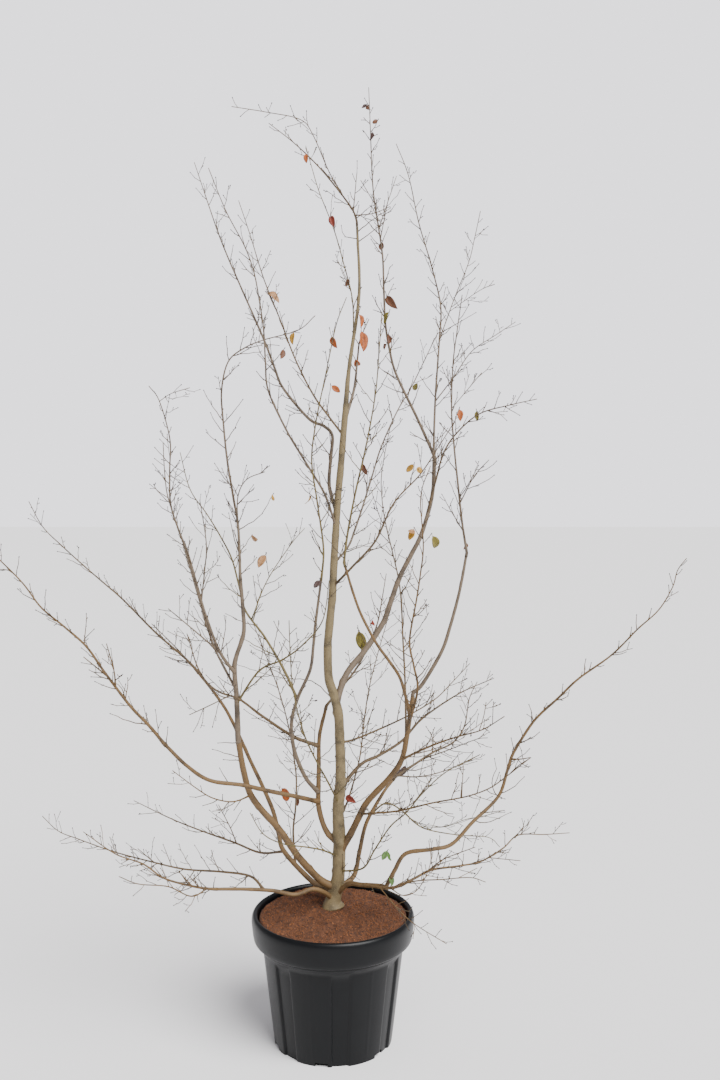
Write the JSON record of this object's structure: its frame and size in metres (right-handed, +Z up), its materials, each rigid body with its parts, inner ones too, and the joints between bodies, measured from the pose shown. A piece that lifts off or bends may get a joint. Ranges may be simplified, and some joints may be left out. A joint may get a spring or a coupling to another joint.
{
  "type": "potted persian ironwood",
  "caption": "Bare multi-stemmed ironwood tree with arching shoots and fine twigs, in a round fluted black nursery pot.",
  "frame": {"origin": "centre of the flat underside of the pot, on the surface it stands on", "axes": "+Z up the trunk, -Y towards the front that the picture shows, +X to the viewer's right"},
  "size_m": [1.9729, 1.0416, 2.8473],
  "materials": {
    "pot_plastic": "satin black moulded plastic",
    "soil": "loose red-brown bark and peat",
    "trunk_bark": "smooth olive-tan bark with dark knots",
    "bough_bark": "orange-brown to grey bark",
    "twigs": "thin grey-brown twigs with small dark buds and a few withered leaves"
  },
  "bodies": {
    "root": {"pot": "pot_plastic", "soil": "soil", "trunk": "trunk_bark", "bough_left_low": "bough_bark", "bough_left_high": "bough_bark", "bough_left_second": "bough_bark", "bough_centre_left": "bough_bark", "bough_left_wide": "bough_bark", "bough_inner_left": "bough_bark", "bough_left_skirt": "bough_bark", "bough_right_main": "bough_bark", "bough_right_outer": "bough_bark", "bough_right_front": "bough_bark", "bough_grey_right": "bough_bark", "bough_right_second": "bough_bark", "bough_right_low": "bough_bark", "bough_arch": "bough_bark", "spray_left_arch": "twigs", "spray_left_outer": "twigs", "spray_left_pair": "twigs", "spray_long_left": "twigs", "spray_wide_left": "twigs", "spray_low_left": "twigs", "spray_left_hook": "twigs", "spray_skirt_upper": "twigs", "spray_skirt_lower": "twigs", "spray_left_side": "twigs", "spray_left_olive": "twigs", "spray_left_brace": "twigs", "spray_centre_back": "twigs", "spray_inner_tall": "twigs", "spray_right_outer": "twigs", "spray_right_middle": "twigs", "spray_right_inner": "twigs", "spray_right_front": "twigs", "spray_top": "twigs", "spray_right_straight": "twigs", "spray_far_right_up": "twigs", "spray_trunk_right": "twigs", "spray_grey_purple": "twigs", "spray_upper_left": "twigs", "spray_upper_left_inner": "twigs", "spray_upper_left_outer": "twigs", "spray_tip": "twigs", "spray_tip_inner": "twigs", "spray_right_fan": "twigs", "spray_right_fan_front": "twigs", "spray_right_side": "twigs", "spray_twin_top": "twigs", "spray_right_dark": "twigs", "spray_far_right": "twigs", "spray_right_low": "twigs", "spray_right_under": "twigs", "spray_right_mid": "twigs", "spray_right_cross": "twigs", "spray_right_thin": "twigs", "spray_left_front": "twigs", "spray_back_right": "twigs", "spray_back_left": "twigs", "spray_front_left": "twigs"}
  },
  "joints": []
}
